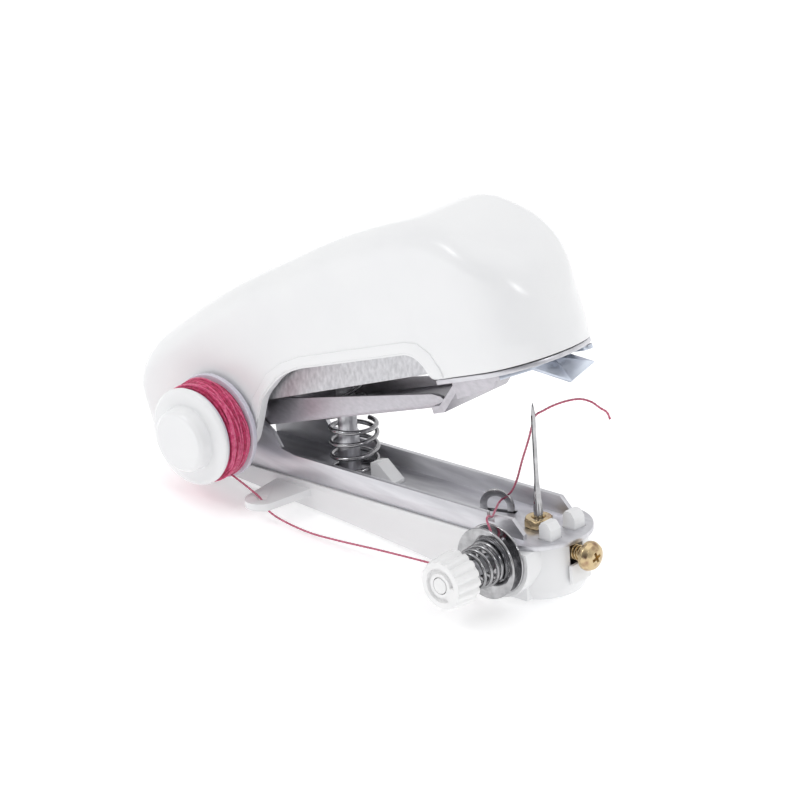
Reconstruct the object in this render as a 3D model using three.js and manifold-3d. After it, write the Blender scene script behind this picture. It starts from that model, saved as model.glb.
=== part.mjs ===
// Hand-held mini sewing machine: a steel needle arm, a sprung cloth presser and a white
// shell with the stitch gear, all turning on one cross pin that also carries the spool.
// Units are millimetres. The arm's own frame has its origin on the hinge axis, +X towards
// the needle, +Y away from the spool and +Z along the needle.
import * as THREE from 'three';
import { mergeVertices } from 'three/addons/utils/BufferGeometryUtils.js';
import Module from 'manifold-3d';

const wasm = await Module();
wasm.setup();

// ---- driving dimensions ---------------------------------------------------------------
const ARM_TILT = 7.0;            // degrees the arm leans when the machine stands on its cup
const OPEN_ANGLE = 18.4;         // degrees between arm and upper body at rest
const RUN_GAP = 0.15;            // radial running clearance on pins and bores
const SEAT_GAP = 0.1;            // gap between stacked pieces
const ROUND = 32;                // sides of a large round part
const SMALL_ROUND = 20;          // sides of a small round part

const PIN_R = 1.5;
const SHEET = 0.9;

// needle arm
const ARM_HALF_W = 7.1;
const FLOOR_TOP = -8.8;
const FLOOR_LOW = FLOOR_TOP - SHEET;
const FLANGE_TOP = -5.3;
const ARM_REAR = -3.9;
const ARM_FRONT = 70.3;
const EAR_R = 5.2;
const NEEDLE_X = 67.8;
const NOSE_R = 10;
const POST_X = 20.9;
const POST_R = 2.1;
const POST_TOP = 8.0;
const COVER_HALF_W = 7.6;
const COVER_TOP = FLOOR_LOW - SEAT_GAP;
const COVER_WALL = 1.4;
const CUP_R = 9;
const CUP_LOW = -21.1;
const SCREW_Z = -12;
const TENSION = { x: 66.5, z: -12 };
const TAB = { x: 13, y: -16, r: 3.3, low: -12.3, high: -10.9, hole: 1.1 };
const PEG = { x0: 72, x1: 74.8, y0: 1.9, y1: 4.7, top: -5.6 };

// spool
const BOBBIN = { r: 10.15, core: 3.6, bore: PIN_R + RUN_GAP, inner: -13.2, outer: -19.4 };
const THREAD_R = 0.2;

// upper body, in a frame turned with it
const SHELL_HALF_W = 12.4;
const SHELL_REAR = -19.9;
const NOSE_X = 71.4;
const SHELL_FRONT = NOSE_X + SHELL_HALF_W;
const SHELL_WALL = 1.8;
const SHELL_LOW = 2.45;
const REAR_CORNER_R = 2.2;
const TOP_CORNER_R = 5.4;
const FRAME_HALF_W = 9.1;
const WEB_LOW = 8.6;
const WEB_TOP = 9.4;
const PLATE_LOW = 1.3;
const PLATE_TOP = 2.1;
const FOOT_TOP = 1.0;
const FOOT_LOW = 0.2;
const PRESSER_HALF_W = 6.0;
const SWING = THREE.MathUtils.degToRad(14.4);   // crank and looper lean this much each way
const CRANK = { x: 13, z: 12.5, arm: 7 };
const LOOPER = { x: 59, z: 26.3, arm: 7 };

// ---- materials ------------------------------------------------------------------------
const material = (color, roughness, metalness) =>
  new THREE.MeshStandardMaterial({ color, roughness, metalness });
const WHITE = material('#f2f2f0', 0.28, 0);
const CLEAR = material('#dcd8e6', 0.15, 0);
const STEEL = material('#b9b9bd', 0.35, 0.9);
const GALVANISED = material('#8f9093', 0.5, 0.85);
const CHROME = material('#c8c8cc', 0.12, 1);
const ZINC = material('#c9b98a', 0.3, 0.9);
const SPRING_STEEL = material('#9a9a9e', 0.25, 1);
const CRIMSON = material('#b3123f', 0.8, 0);
const BLACK_STEEL = material('#4a4a4d', 0.4, 0.8);

// ---- solids and shapes ----------------------------------------------------------------
function toSolid(geometry) {
  const bare = geometry.clone();
  bare.deleteAttribute('normal');
  bare.deleteAttribute('uv');
  const merged = mergeVertices(bare, 1e-4);
  return new wasm.Manifold(new wasm.Mesh({
    numProp: 3,
    vertProperties: new Float32Array(merged.attributes.position.array),
    triVerts: new Uint32Array(merged.index.array),
  }));
}

function toGeometry(solid) {
  const mesh = solid.getMesh();
  const geometry = new THREE.BufferGeometry();
  geometry.setAttribute('position', new THREE.BufferAttribute(mesh.vertProperties, 3));
  geometry.setIndex(new THREE.BufferAttribute(mesh.triVerts, 1));
  return geometry;
}

const join = (...solids) => solids.reduce((sum, next) => sum.add(next));
const cut = (body, ...tools) => tools.reduce((rest, tool) => rest.subtract(tool), body);

const outline = (points) => new THREE.Shape(points.map(([a, b]) => new THREE.Vector2(a, b)));

// a shape drawn in X and Z, extruded along Y
function sidePlate(points, y0, y1) {
  const geometry = new THREE.ExtrudeGeometry(outline(points), { depth: y1 - y0, bevelEnabled: false });
  geometry.rotateX(Math.PI / 2);
  geometry.translate(0, y1, 0);
  return toSolid(geometry);
}

// a shape drawn in X and Y, extruded along Z
function flatPlate(points, z0, z1) {
  const geometry = new THREE.ExtrudeGeometry(outline(points), { depth: z1 - z0, bevelEnabled: false });
  geometry.translate(0, 0, z0);
  return toSolid(geometry);
}

function box(x0, x1, y0, y1, z0, z1) {
  const geometry = new THREE.BoxGeometry(x1 - x0, y1 - y0, z1 - z0);
  geometry.translate((x0 + x1) / 2, (y0 + y1) / 2, (z0 + z1) / 2);
  return toSolid(geometry);
}

function rodY(x, z, r, y0, y1, sides = SMALL_ROUND) {
  const geometry = new THREE.CylinderGeometry(r, r, y1 - y0, sides);
  geometry.translate(x, (y0 + y1) / 2, z);
  return toSolid(geometry);
}

function rodZ(x, y, r, z0, z1, sides = SMALL_ROUND) {
  const geometry = new THREE.CylinderGeometry(r, r, z1 - z0, sides);
  geometry.rotateX(Math.PI / 2);
  geometry.translate(x, y, (z0 + z1) / 2);
  return toSolid(geometry);
}

function rodX(y, z, r, x0, x1, sides = SMALL_ROUND) {
  const geometry = new THREE.CylinderGeometry(r, r, x1 - x0, sides);
  geometry.rotateZ(Math.PI / 2);
  geometry.translate((x0 + x1) / 2, y, z);
  return toSolid(geometry);
}

// a closed profile of [radius, height along Y] turned round the Y direction at x, z
function turnedY(profile, x, z, sides = ROUND) {
  const points = profile.map(([r, y]) => new THREE.Vector2(r, y));
  points.push(points[0].clone());
  const geometry = new THREE.LatheGeometry(points, sides);
  geometry.translate(x, 0, z);
  return toSolid(geometry);
}

// a closed profile of [radius, height along Z] turned round the Z direction at x, y
function turnedZ(profile, x, y, sides = ROUND) {
  const points = profile.map(([r, z]) => new THREE.Vector2(r, z));
  points.push(points[0].clone());
  const geometry = new THREE.LatheGeometry(points, sides);
  geometry.rotateX(Math.PI / 2);
  geometry.translate(x, y, 0);
  return toSolid(geometry);
}

// points of an arc about cx, cy from one angle to another, in degrees
function arc(cx, cy, r, from, to, steps) {
  return Array.from({ length: steps + 1 }, (_, i) => {
    const angle = THREE.MathUtils.degToRad(from + ((to - from) * i) / steps);
    return [cx + r * Math.cos(angle), cy + r * Math.sin(angle)];
  });
}

const circleShape = (r, sides) => outline(arc(0, 0, r, 0, 360 - 360 / sides, sides - 1));

function tube(curve, r, sides, steps) {
  return new THREE.ExtrudeGeometry(circleShape(r, sides), {
    steps, extrudePath: curve, bevelEnabled: false,
  });
}

// a helix along +Z whose radius may change evenly from one end to the other
class Helix extends THREE.Curve {
  constructor(r0, r1, z0, z1, turns, phase = 0) {
    super();
    Object.assign(this, { r0, r1, z0, z1, turns, phase });
  }

  getPoint(t, target = new THREE.Vector3()) {
    const angle = this.phase + 2 * Math.PI * this.turns * t;
    const r = this.r0 + (this.r1 - this.r0) * t;
    return target.set(r * Math.cos(angle), r * Math.sin(angle), this.z0 + (this.z1 - this.z0) * t);
  }
}

// a closed solid through rings of [x, y, z] points, all rings turning the same way
function loft(rings) {
  const count = rings[0].length;
  const positions = rings.flat(2);
  const index = [];
  for (let i = 0; i < rings.length - 1; i += 1) {
    for (let j = 0; j < count; j += 1) {
      const k = (j + 1) % count;
      const [a, b, c, d] = [i * count + j, i * count + k, (i + 1) * count + k, (i + 1) * count + j];
      index.push(a, b, c, a, c, d);
    }
  }
  const last = (rings.length - 1) * count;
  for (let j = 1; j < count - 1; j += 1) {
    index.push(0, j + 1, j, last, last + j, last + j + 1);
  }
  const geometry = new THREE.BufferGeometry();
  geometry.setAttribute('position', new THREE.BufferAttribute(new Float32Array(positions), 3));
  geometry.setIndex(index);
  return toSolid(geometry);
}

function place(group, name, solidOrGeometry, look) {
  const geometry = solidOrGeometry.isBufferGeometry ? solidOrGeometry : toGeometry(solidOrGeometry);
  const mesh = new THREE.Mesh(geometry, look);
  mesh.name = name;
  group.add(mesh);
  return mesh;
}

// ---- groups ---------------------------------------------------------------------------
const machine = new THREE.Group();
const arm = new THREE.Group();
const body = new THREE.Group();
arm.rotation.y = THREE.MathUtils.degToRad(-ARM_TILT);
body.rotation.y = THREE.MathUtils.degToRad(-OPEN_ANGLE);
arm.add(body);
machine.add(arm);

// ---- needle arm -----------------------------------------------------------------------
const pinHole = rodY(0, 0, PIN_R + RUN_GAP, -40, 40);

function armChannel() {
  const ear = arc(0, 0, EAR_R, 200, 0, 14);
  const side = [
    [ARM_REAR, FLOOR_LOW], ...ear, [8, -1.7], [10, -4.6], [13.6, FLANGE_TOP],
    [ARM_FRONT - 2.6, FLANGE_TOP], [ARM_FRONT, -7.9], [ARM_FRONT, FLOOR_LOW],
  ];
  const nose = arc(NEEDLE_X, 0, NOSE_R, -80, 80, 20);
  const floor = [
    [ARM_REAR, -ARM_HALF_W], [66, -ARM_HALF_W], [66, -9], ...nose, [66, 9], [66, ARM_HALF_W],
    [ARM_REAR, ARM_HALF_W],
  ];
  const pegHoles = [-1, 1].map((s) => box(
    PEG.x0 - 0.2, PEG.x1 + 0.2, Math.min(s * PEG.y0, s * PEG.y1) - 0.2,
    Math.max(s * PEG.y0, s * PEG.y1) + 0.2, -11, -7,
  ));
  const ringSlot = toSolid(new THREE.BoxGeometry(7.6, 1.4, 4)
    .rotateZ(THREE.MathUtils.degToRad(19)).translate(56.9, 0.9, FLOOR_TOP));
  return cut(
    join(
      sidePlate(side, -ARM_HALF_W, -ARM_HALF_W + SHEET),
      sidePlate(side, ARM_HALF_W - SHEET, ARM_HALF_W),
      flatPlate(floor, FLOOR_LOW, FLOOR_TOP),
    ),
    pinHole,
    rodZ(POST_X, 0, 1.5 + RUN_GAP, -12, -7),
    rodZ(NEEDLE_X, 0, 2.4 + RUN_GAP, -12, -7),
    box(27.4, 33.4, -1.7, 1.7, -12, -7),
    ringSlot,
    box(61.6, 63.4, -8, -6, -6.9, -4),
    ...pegHoles,
  );
}

function armCover() {
  const trough = (inset) => {
    const w = COVER_HALF_W - inset;
    const lower = [
      [-3.5 + inset, -12.9], [5.9, -13.7], [13.7, -14.6], [25, -15.5], [41.9, -17.3],
      [52, -18.6], [60, -20.2],
    ].map(([x, z]) => [x, z + inset]);
    const top = inset > 0 ? COVER_TOP + 1 : COVER_TOP;
    return sidePlate([[-3.5 + inset, top], ...lower, [66, -20.2 + inset], [66, top]], -w, w);
  };
  const cup = turnedZ([
    [0.001, CUP_LOW], [CUP_R - 3, CUP_LOW], [CUP_R - 1, CUP_LOW + 0.9], [CUP_R, CUP_LOW + 3],
    [CUP_R, COVER_TOP], [0.001, COVER_TOP],
  ], NEEDLE_X, 0);
  const cupHollow = rodZ(NEEDLE_X, 0, CUP_R - COVER_WALL, CUP_LOW + COVER_WALL + 0.6, COVER_TOP + 1, ROUND);
  const stem = rodY(TENSION.x, TENSION.z, 7.5, -10.5, -6.2, ROUND);
  const aboveStem = box(50, 90, -12, 0, COVER_TOP, 0);
  const tab = flatPlate([
    [8.6, -7], [TAB.x - TAB.r, TAB.y], ...arc(TAB.x, TAB.y, TAB.r, 180, 360, 12), [17.6, -7],
  ], TAB.low, TAB.high);
  const peg = (s) => sidePlate([
    [PEG.x0, -12.4], [PEG.x1, -12.4], [PEG.x1, PEG.top - 1.2], [PEG.x1 - 0.9, PEG.top],
    [PEG.x0 + 0.6, PEG.top], [PEG.x0, PEG.top - 0.8],
  ], Math.min(s * PEG.y0, s * PEG.y1), Math.max(s * PEG.y0, s * PEG.y1));
  const wedge = sidePlate([
    [27.6, -15], [33.2, -15], [33.2, -8.2], [29.4, -5.1], [27.6, -5.4],
  ], -1.5, 1.5);
  const frontSlot = box(NEEDLE_X + 4, NEEDLE_X + 12, -1.8, 1.8, -17.2, -8);
  const stemPad = join(stem, box(NEEDLE_X - 4, NEEDLE_X + 4, -8.6, -6.2, -20, -10.5));
  return cut(
    join(
      cut(join(trough(0), cup, cut(stemPad, aboveStem)), trough(COVER_WALL), cupHollow),
      tab, peg(-1), peg(1), wedge,
    ),
    frontSlot,
    rodY(TENSION.x, TENSION.z, PIN_R + RUN_GAP, -14, -5),
    rodZ(TAB.x, TAB.y, TAB.hole, -14, -9, 12),
  );
}

function needleSolid() {
  return turnedZ([
    [0.001, -16.5], [0.85, -16.5], [0.85, -4.6], [0.42, 0.4], [0.4, 11.2], [0.3, 13],
    [0.02, 15.3], [0.001, 15.3],
  ], NEEDLE_X, 0, 12);
}

function needleClamp() {
  const collar = rodZ(NEEDLE_X, 0, 2.75, FLOOR_TOP + SEAT_GAP, FLOOR_TOP + 1.7, 6);
  return cut(
    join(collar, rodZ(NEEDLE_X, 0, 2.4, -17.5, FLOOR_TOP + 1)),
    rodZ(NEEDLE_X, 0, 0.85 + RUN_GAP, -18, 0, 12),
    rodX(0, SCREW_Z, PIN_R + RUN_GAP, NEEDLE_X, NEEDLE_X + 5),
  );
}

function clampScrew() {
  const x0 = NEEDLE_X + 1.15;
  const head = new THREE.LatheGeometry(
    [[0.001, 0], [2.8, 0], [2.8, 0.7], [2.3, 1.6], [1.3, 2.1], [0.001, 2.2], [0.001, 0]]
      .map(([r, h]) => new THREE.Vector2(r, h)),
    24,
  );
  head.rotateZ(-Math.PI / 2);
  head.translate(79.4, 0, SCREW_Z);
  const recess = [0, 90].map((turn) => toSolid(new THREE.BoxGeometry(1.4, 2.6, 0.6)
    .rotateX(THREE.MathUtils.degToRad(turn)).translate(81.5, 0, SCREW_Z)));
  return cut(join(rodX(0, SCREW_Z, PIN_R, x0, 79.6), toSolid(head)), ...recess);
}

function ringGuide() {
  const ring = new THREE.LatheGeometry(
    [[2.1, -0.3], [3.4, -0.3], [3.4, 0.3], [2.1, 0.3], [2.1, -0.3]].map(([r, y]) => new THREE.Vector2(r, y)),
    28,
  );
  ring.rotateZ(THREE.MathUtils.degToRad(19));
  ring.translate(56.9, 0.9, -8.0);
  return toSolid(ring);
}

place(arm, 'arm_channel', armChannel(), STEEL);
place(arm, 'arm_cover', armCover(), WHITE);
place(arm, 'needle', needleSolid(), CHROME);
place(arm, 'needle_clamp', needleClamp(), ZINC);
place(arm, 'clamp_screw', clampScrew(), ZINC);
place(arm, 'ring_guide', ringGuide(), STEEL);
place(arm, 'guide_post', join(
  rodZ(POST_X, 0, 1.5, FLOOR_LOW - 0.05, FLOOR_TOP + 0.5),
  rodZ(POST_X, 0, POST_R, FLOOR_TOP + SEAT_GAP, POST_TOP - 0.5),
  rodZ(POST_X, 0, POST_R - 0.4, POST_TOP - 0.6, POST_TOP),
), STEEL);

const mainSpring = tube(new Helix(4.35, 4.35, FLOOR_TOP + 0.6, 0.7, 4.25, Math.PI), 0.45, 6, 76);
mainSpring.translate(22.4, 0, 0);
place(arm, 'main_spring', mainSpring, SPRING_STEEL);

// ---- thread tension -------------------------------------------------------------------
function tensionDisc(centreY, rimY) {
  const t = 0.45;
  return turnedY([
    [1.7, centreY], [3.4, centreY], [6.3, rimY], [6.85, rimY], [6.85, rimY + t],
    [6.2, rimY + t], [3.3, centreY + t], [1.7, centreY + t],
  ], TENSION.x, TENSION.z);
}

function tensionKnob() {
  const ribs = Array.from({ length: 16 }, (_, i) => {
    const angle = (2 * Math.PI * i) / 16;
    return rodY(TENSION.x + 5.35 * Math.cos(angle), TENSION.z + 5.35 * Math.sin(angle), 0.45, -27, -18, 6);
  });
  const blank = turnedY([
    [1.65, -26], [4.0, -26], [4.7, -25.4], [5.2, -20.3], [1.65, -20.3],
  ], TENSION.x, TENSION.z);
  return cut(blank, ...ribs);
}

place(arm, 'tension_stud', join(
  rodY(TENSION.x, TENSION.z, PIN_R, -25.2, -5.9),
  rodY(TENSION.x, TENSION.z, 2, -6.1, -5.2),
), STEEL);
place(arm, 'tension_disc_rear', tensionDisc(-11.65, -11.15), CHROME);
place(arm, 'tension_disc_front', tensionDisc(-12.9, -13.6), CHROME);
const tensionSpring = tube(new Helix(3.9, 3.3, 13.4, 19.6, 5, 0), 0.38, 6, 75);
tensionSpring.rotateX(Math.PI / 2);
tensionSpring.translate(TENSION.x, 0, TENSION.z);
place(arm, 'tension_spring', tensionSpring, SPRING_STEEL);
place(arm, 'tension_knob', tensionKnob(), WHITE);

// ---- hinge pin and spool --------------------------------------------------------------
place(arm, 'hinge_pin', join(
  rodY(0, 0, PIN_R, -22.6, 13.4),
  turnedY([[0.001, 12.7], [3.2, 12.7], [2.7, 13.7], [1.2, 14.2], [0.001, 14.2]], 0, 0, 24),
), STEEL);
place(arm, 'spool_washer', turnedY([
  [PIN_R + RUN_GAP, -13.05], [4.2, -13.05], [4.2, -12.6], [PIN_R + RUN_GAP, -12.6],
], 0, 0, 24), SPRING_STEEL);
place(arm, 'bobbin', turnedY([
  [BOBBIN.bore, BOBBIN.outer], [BOBBIN.r, BOBBIN.outer], [BOBBIN.r, BOBBIN.outer + 0.9],
  [BOBBIN.core, BOBBIN.outer + 0.9], [BOBBIN.core, BOBBIN.inner - 1], [BOBBIN.r, BOBBIN.inner - 1],
  [BOBBIN.r, BOBBIN.inner], [BOBBIN.bore, BOBBIN.inner],
], 0, 0), CLEAR);
place(arm, 'wound_thread', turnedY([
  [BOBBIN.core + 0.1, -18.4], [8.6, -18.4], [9, -17.6], [9, -15], [8.6, -14.3], [BOBBIN.core + 0.1, -14.3],
], 0, 0), CRIMSON);
place(arm, 'spool_cap', turnedY([
  [0.001, -24.2], [5.5, -24.2], [6.1, -23.5], [6.2, -21.2], [9.6, -21.1], [BOBBIN.r, -20.6],
  [BOBBIN.r, -19.5], [BOBBIN.bore, -19.5], [BOBBIN.bore, -22.8], [0.001, -22.8],
], 0, 0), WHITE);

// ---- thread ---------------------------------------------------------------------------
const SUPPLY_ROUTE = [
  [5.6, -16.5, -7.6], [7.2, -16.4, -8.3], [10.2, -16.2, -9.7], [12.7, -16, -11.2], [13.4, -16, -12.4],
  [15.2, -15.9, -13.6], [18, -15.6, -14.6], [23.8, -15, -15.7], [30.1, -14.6, -15.8], [40.7, -14, -15.5],
  [53.1, -12.9, -15.6], [59.5, -12.3, -15.9], [64.2, -12.05, -15.6], [67.4, -12.05, -14.5],
  [68.9, -12.05, -12], [68.1, -12.05, -8.6], [66.6, -12, -5.5], [65.3, -11.2, -4.5],
  [63.9, -9.2, -4.8], [62.5, -6.7, -6.1], [60.9, -4.2, -6.3], [58.6, -0.9, -6.8], [57.5, 0.5, -7.2],
];
const NEEDLE_ROUTE = [
  [57.3, 0.8, -7.3], [57.1, 1.9, -7], [58.6, 2.7, -5.6], [60.6, 2.3, -2.8], [63.2, 1.5, 2.5],
  [65.4, 1.1, 7.2], [67, 0.85, 11.2], [67.9, 0.75, 12.7], [69.2, 1.2, 13.6], [71.1, 2, 14.8],
  [74, 3, 16.1], [76.4, 3.6, 16.7], [78.6, 4, 16.5], [80.6, 4, 15.8], [82.2, 4, 15.3], [82.9, 4, 14.1],
];

function threadTube(route, steps) {
  const curve = new THREE.CatmullRomCurve3(route.map((p) => new THREE.Vector3(...p)), false, 'centripetal');
  return tube(curve, THREAD_R, 8, steps);
}

place(arm, 'thread_supply', threadTube(SUPPLY_ROUTE, 72), CRIMSON);
place(arm, 'thread_needle', threadTube(NEEDLE_ROUTE, 44), CRIMSON);

// ---- upper body: shell ----------------------------------------------------------------
const shellTop = new THREE.SplineCurve([
  [SHELL_REAR, 9.5], [-19.3, 12.2], [-17.2, 14.9], [-14.2, 16.9], [-8, 19.3], [8, 24.1], [24, 27.3],
  [41, 30.2], [55, 31.3], [64.5, 31.1], [69.5, 29.1], [74.5, 25.9], [79, 22.3], [82.2, 18.2],
  [SHELL_FRONT, 12.3],
].map(([x, z]) => new THREE.Vector2(x, z))).getSpacedPoints(200);

function topAt(x) {
  const next = shellTop.findIndex((p) => p.x >= x);
  if (next <= 0) return shellTop[next < 0 ? shellTop.length - 1 : 0].y;
  const [a, b] = [shellTop[next - 1], shellTop[next]];
  return a.y + ((b.y - a.y) * (x - a.x)) / (b.x - a.x);
}

// half width of the plan outline: round rear corners and a half-round nose
function halfWidthAt(x, inset) {
  const r = SHELL_HALF_W - inset;
  const intoRear = x - (SHELL_REAR + inset);
  if (intoRear < REAR_CORNER_R) {
    return r - REAR_CORNER_R + Math.sqrt(REAR_CORNER_R ** 2 - (REAR_CORNER_R - intoRear) ** 2);
  }
  return x <= NOSE_X ? r : Math.sqrt(Math.max(r ** 2 - (x - NOSE_X) ** 2, 0.04));
}

function shellBlank(inset, low) {
  const span = SHELL_FRONT - SHELL_REAR;
  const stations = [
    0.001, 0.007, 0.018, 0.04, 0.09, 0.18, 0.28, 0.4, 0.52, 0.64, 0.76, 0.84, 0.88, 0.91, 0.935, 0.955,
    0.972, 0.985, 0.994, 0.999,
  ];
  const rings = stations.map((u) => {
    const x = SHELL_REAR + inset + u * (span - 2 * inset);
    const w = halfWidthAt(x, inset);
    const top = topAt(SHELL_REAR + u * span) - inset;
    const r = Math.min(TOP_CORNER_R, w * 0.85);
    return [
      [w, low], ...arc(w - r, top - r, r, 0, 90, 6), ...arc(r - w, top - r, r, 90, 180, 6), [-w, low],
    ].map(([y, z]) => [x, y, z]);
  });
  return loft(rings);
}

const BOSSES = [{ x: 8, y: -5.2 }, { x: 47, y: -5.2 }];
const PLATE_BOSSES = [{ x: 80.2, y: 0 }, { x: 67.3, y: -8.9 }, { x: 67.3, y: 8.9 }];

function bodyShell() {
  const below = sidePlate([
    [-30, -20], [95, -20], [95, SHELL_LOW], [58.6, SHELL_LOW], [56.6, 6.1], [53.9, 7.8], [25.2, 8.1],
    [18.4, 6.6], [13.1, 3.5], [9.8, -1.2], [7, -4.8], [2, -6.6], [-13, -6.6], [-16.6, -5.6], [-30, -3],
  ], -20, 20);
  const bosses = BOSSES.map(({ x, y }) => rodZ(x, y, 3, WEB_TOP + 0.3, topAt(x) - 0.9));
  const plateBosses = PLATE_BOSSES.map(({ x, y }) => rodZ(x, y, 2.5, SHELL_LOW, 9));
  return cut(
    join(cut(shellBlank(0, -12), shellBlank(SHELL_WALL, -14)), ...bosses, ...plateBosses),
    below,
    pinHole,
    ...BOSSES.map(({ x, y }) => rodZ(x, y, 1.3 + RUN_GAP, 0, 19)),
    ...PLATE_BOSSES.map(({ x, y }) => rodZ(x, y, 1.1 + RUN_GAP, 0, 7.6)),
  );
}

// ---- upper body: frame and stitch gear --------------------------------------------------
function upperFrame() {
  const flange = [
    ...arc(0, 0, 4.6, 180, 300, 8), [10, 2.4], [63.5, 3.1], [63.5, WEB_TOP], [-4.6, WEB_TOP],
  ];
  const lug = (x, y) => sidePlate([
    [x - 3, WEB_LOW + 0.2], [x + 3, WEB_LOW + 0.2], ...arc(x, CRANK.z, 2.4, 0, 180, 8),
  ], y, y + SHEET);
  const looperPost = sidePlate([
    [LOOPER.x - 3.4, WEB_LOW + 0.2], [LOOPER.x + 3.4, WEB_LOW + 0.2],
    ...arc(LOOPER.x, LOOPER.z, 2.3, 0, 180, 8),
  ], 4.0, 4.0 + SHEET);
  return cut(
    join(
      sidePlate(flange, -FRAME_HALF_W, -FRAME_HALF_W + 0.8),
      sidePlate(flange, FRAME_HALF_W - 0.8, FRAME_HALF_W),
      box(-4.6, 63.5, -FRAME_HALF_W, FRAME_HALF_W, WEB_LOW, WEB_TOP),
      lug(CRANK.x, 3.0), lug(CRANK.x, -0.1), looperPost,
    ),
    pinHole,
    rodY(CRANK.x, CRANK.z, 1 + RUN_GAP, -5, 8),
    rodY(LOOPER.x, LOOPER.z, 1 + RUN_GAP, 0, 8),
    box(CRANK.x - 5, CRANK.x + 5, 1.1, 2.7, WEB_LOW - 1, WEB_TOP + 0.1),
    box(52, 64, 1.6, 3.6, WEB_LOW - 1, WEB_TOP + 0.1),
    ...BOSSES.map(({ x, y }) => rodZ(x, y, 1.3 + RUN_GAP, 5, 12)),
  );
}

function throatPlate() {
  const plan = [[58.8, -11.6], [NOSE_X, -11.9], ...arc(NOSE_X, 0, 11.9, -90, 90, 28), [58.8, 11.6]];
  const feedSlots = [-1, 1].map((s) => box(63.4, 77.4, s * 4.4 - 1.1, s * 4.4 + 1.1, 0, 4));
  const screwHoles = PLATE_BOSSES.flatMap(({ x, y }) => [
    rodZ(x, y, 1.1 + RUN_GAP, 0, 4), rodZ(x, y, 2.1, 0, 1.75),
  ]);
  const needleHole = box(66.3, 70.9, -1.2, 1.2, 0, 4);
  return cut(flatPlate(plan, PLATE_LOW, PLATE_TOP), ...feedSlots, ...screwHoles, needleHole);
}

function driveCrank() {
  const top = [CRANK.x - CRANK.arm * Math.sin(SWING), CRANK.z + CRANK.arm * Math.cos(SWING)];
  const low = [CRANK.x + 7 * Math.sin(SWING), CRANK.z - 7 * Math.cos(SWING)];
  const plate = sidePlate([
    ...arc(low[0], low[1], 1.3, 195, 345, 6), ...arc(CRANK.x, CRANK.z, 2.2, -20, 30, 3),
    ...arc(top[0], top[1], 1.5, 0, 180, 8), ...arc(CRANK.x, CRANK.z, 2.2, 150, 200, 3),
  ], 1.3, 2.5);
  const drivePin = rodY(top[0], top[1], 0.8, -1.4, 1.5, 12);
  return cut(join(plate, drivePin), rodY(CRANK.x, CRANK.z, 1 + RUN_GAP, 0, 4));
}

function looperSlide() {
  const rear = CRANK.x - CRANK.arm * Math.sin(SWING);
  const front = LOOPER.x - LOOPER.arm * Math.sin(SWING);
  const slotZ = CRANK.z + CRANK.arm * Math.cos(SWING);
  const bar = join(
    box(rear - 3, front + 2.4, -1.2, 0.8, slotZ - 2.2, slotZ + 2.4),
    rodY(front, LOOPER.z - LOOPER.arm * Math.cos(SWING), 0.8, 0.6, 3.4, 12),
  );
  return cut(bar, box(rear - 1.05, rear + 1.05, -3, 3, slotZ - 1.3, slotZ + 1.6));
}

function looperHook() {
  const hook = sidePlate([
    ...arc(0, 0, 2.2, 20, 200, 8), [-2, -5], [-2, -9], [-0.4, -13], [2.2, -17],
    [7.4, -18.2], [3.6, -16.2], [2.2, -12.6], [2, -9], [2, -5],
  ], 2.1, 3.1);
  const drilled = cut(hook, rodY(0, 0, 1 + RUN_GAP, 0, 6), box(-1.05, 1.05, 0, 6, -8.4, -5.6));
  return drilled.rotate([0, THREE.MathUtils.radToDeg(SWING), 0]).translate([LOOPER.x, 0, LOOPER.z]);
}

function feedDog() {
  const teeth = [-1, 1].flatMap((s) => Array.from({ length: 5 }, (_, i) => {
    const x = 65.2 + 2 * i;
    return sidePlate([[x, 3.2], [x, 1.7], [x + 1.7, 3.2]], s * 4.4 - 0.6, s * 4.4 + 0.6);
  }));
  return join(
    box(64.4, 75.4, -5.2, -3.6, 2.6, 4), box(64.4, 75.4, 3.6, 5.2, 2.6, 4),
    box(60.6, 64.8, -5.2, 5.2, 2.6, 4), ...teeth,
  );
}

const rivet = (x, z, y0, y1) => join(
  rodY(x, z, 1, y0, y1, 16),
  rodY(x, z, 1.8, y0 - 0.7, y0, 16),
);

place(body, 'body_shell', bodyShell(), WHITE);
place(body, 'upper_frame', upperFrame(), GALVANISED);
place(body, 'throat_plate', throatPlate(), STEEL);
place(body, 'drive_crank', driveCrank(), BLACK_STEEL);
place(body, 'crank_pin', rivet(CRANK.x, CRANK.z, -0.2, 3.95), STEEL);
place(body, 'looper_slide', looperSlide(), STEEL);
place(body, 'looper', looperHook(), CHROME);
place(body, 'looper_pin', rivet(LOOPER.x, LOOPER.z, 2.0, 5.0), STEEL);
place(body, 'feed_dog', feedDog(), BLACK_STEEL);
BOSSES.forEach(({ x, y }, i) => place(body, `frame_screw_${i + 1}`, join(
  rodZ(x, y, 1.3, WEB_LOW - 0.2, 17.5, 14),
  rodZ(x, y, 2.4, WEB_LOW - 1.5, WEB_LOW - SEAT_GAP, 18),
), STEEL));
PLATE_BOSSES.forEach(({ x, y }, i) => place(body, `plate_screw_${i + 1}`, join(
  rodZ(x, y, 1.1, PLATE_LOW + 0.1, 7, 12),
  rodZ(x, y, 1.95, PLATE_LOW + 0.05, 1.65, 16),
), STEEL));

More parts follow.
